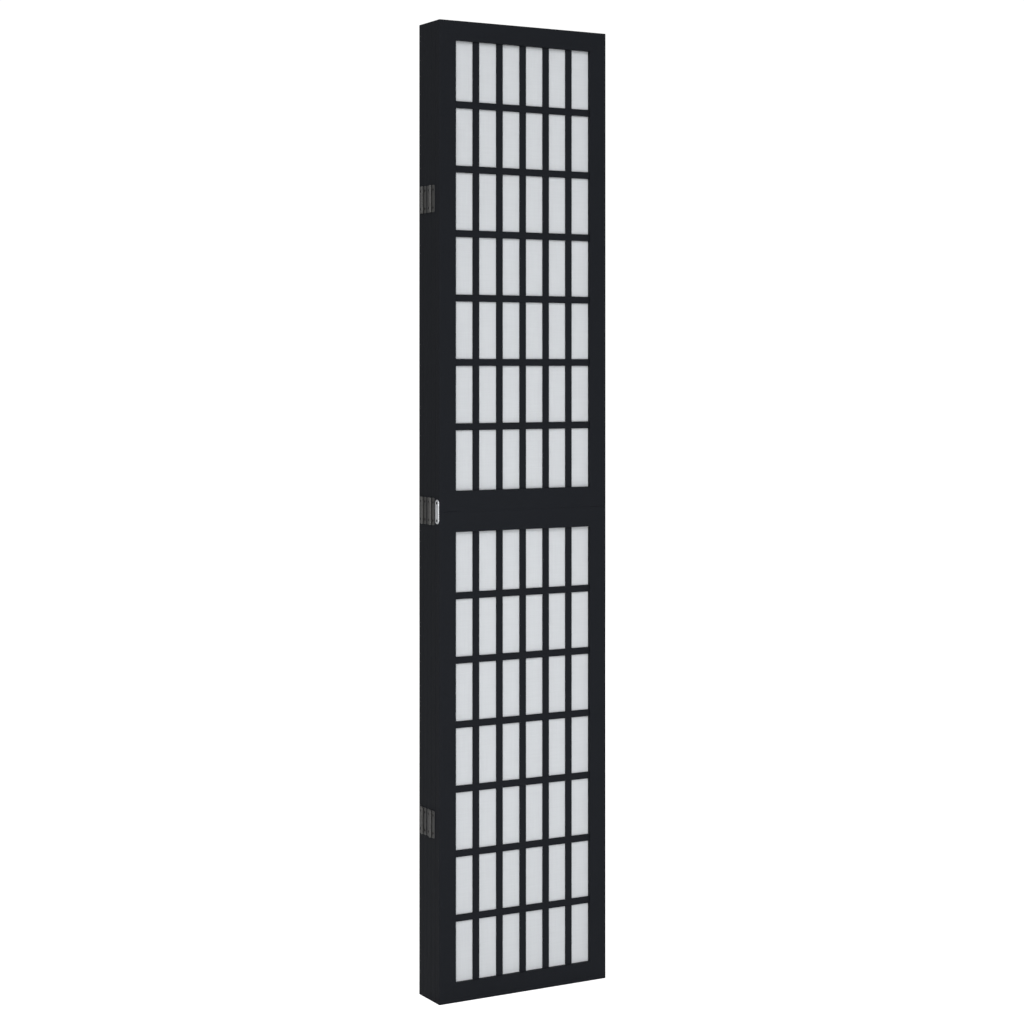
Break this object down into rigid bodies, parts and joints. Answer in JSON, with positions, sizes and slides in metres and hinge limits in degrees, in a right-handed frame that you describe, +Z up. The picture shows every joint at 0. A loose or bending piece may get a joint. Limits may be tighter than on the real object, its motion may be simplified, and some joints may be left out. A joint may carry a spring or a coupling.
{
  "type": "shoji folding screen",
  "caption": "Free-standing folding room screen of hinged wood-framed panels with lattice panes and a translucent fabric lining, folded up as a stack.",
  "frame": {"origin": "middle of the folded stack's footprint, on the floor", "axes": "+X to the right along the panels, +Y from the front panel to the back one, +Z up"},
  "size_m": [0.3662, 0.0812, 1.8],
  "materials": {
    "frame_wood": "satin near-black paint",
    "lattice_wood": "satin near-black paint",
    "shade_fabric": "plain translucent non-woven sheet",
    "hinge_steel": "dark grey plated",
    "pin_steel": "dark grey plated",
    "plate_steel": "bright zinc plated"
  },
  "bodies": {
    "panel_1": {"panel_1_lower_fabric": "shade_fabric", "panel_1_lower_lattice": "lattice_wood", "panel_1_lower_rails": "frame_wood", "panel_1_lower_stiles": "frame_wood", "panel_1_right_leaves": "hinge_steel", "panel_1_seam_plate": "plate_steel", "panel_1_upper_fabric": "shade_fabric", "panel_1_upper_lattice": "lattice_wood", "panel_1_upper_rails": "frame_wood", "panel_1_upper_stiles": "frame_wood"},
    "panel_2": {"panel_2_left_leaves": "hinge_steel", "panel_2_lower_fabric": "shade_fabric", "panel_2_lower_lattice": "lattice_wood", "panel_2_lower_rails": "frame_wood", "panel_2_lower_stiles": "frame_wood", "panel_2_right_leaves": "hinge_steel", "panel_2_upper_fabric": "shade_fabric", "panel_2_upper_lattice": "lattice_wood", "panel_2_upper_rails": "frame_wood", "panel_2_upper_stiles": "frame_wood", "hinge_pins_1_2": "pin_steel"},
    "panel_3": {"panel_3_left_leaves": "hinge_steel", "panel_3_lower_fabric": "shade_fabric", "panel_3_lower_lattice": "lattice_wood", "panel_3_lower_rails": "frame_wood", "panel_3_lower_stiles": "frame_wood", "panel_3_right_leaves": "hinge_steel", "panel_3_upper_fabric": "shade_fabric", "panel_3_upper_lattice": "lattice_wood", "panel_3_upper_rails": "frame_wood", "panel_3_upper_stiles": "frame_wood", "hinge_pins_2_3": "pin_steel"},
    "panel_4": {"panel_4_left_leaves": "hinge_steel", "panel_4_lower_fabric": "shade_fabric", "panel_4_lower_lattice": "lattice_wood", "panel_4_lower_rails": "frame_wood", "panel_4_lower_stiles": "frame_wood", "panel_4_right_leaves": "hinge_steel", "panel_4_upper_fabric": "shade_fabric", "panel_4_upper_lattice": "lattice_wood", "panel_4_upper_rails": "frame_wood", "panel_4_upper_stiles": "frame_wood", "hinge_pins_3_4": "pin_steel"},
    "panel_5": {"panel_5_left_leaves": "hinge_steel", "panel_5_lower_fabric": "shade_fabric", "panel_5_lower_lattice": "lattice_wood", "panel_5_lower_rails": "frame_wood", "panel_5_lower_stiles": "frame_wood", "panel_5_seam_plate": "plate_steel", "panel_5_upper_fabric": "shade_fabric", "panel_5_upper_lattice": "lattice_wood", "panel_5_upper_rails": "frame_wood", "panel_5_upper_stiles": "frame_wood", "hinge_pins_4_5": "pin_steel"}
  },
  "joints": [
    {"name": "hinge_2_3", "type": "hinge", "parent": "panel_3", "child": "panel_2", "pos_m": [-0.1808, -0.00815, 0.9], "axis": [0, 0, -1], "range_deg": [0, 180]},
    {"name": "hinge_1_2", "type": "hinge", "parent": "panel_2", "child": "panel_1", "pos_m": [0.1808, -0.02445, 0.9], "axis": [0, 0, 1], "range_deg": [0, 180]},
    {"name": "hinge_3_4", "type": "hinge", "parent": "panel_3", "child": "panel_4", "pos_m": [0.1808, 0.00815, 0.9], "axis": [0, 0, -1], "range_deg": [0, 180]},
    {"name": "hinge_4_5", "type": "hinge", "parent": "panel_4", "child": "panel_5", "pos_m": [-0.1808, 0.02445, 0.9], "axis": [0, 0, 1], "range_deg": [0, 180]}
  ],
  "couplings": [
    {"joint": "hinge_3_4", "follows": "hinge_2_3", "ratio": 1}
  ]
}
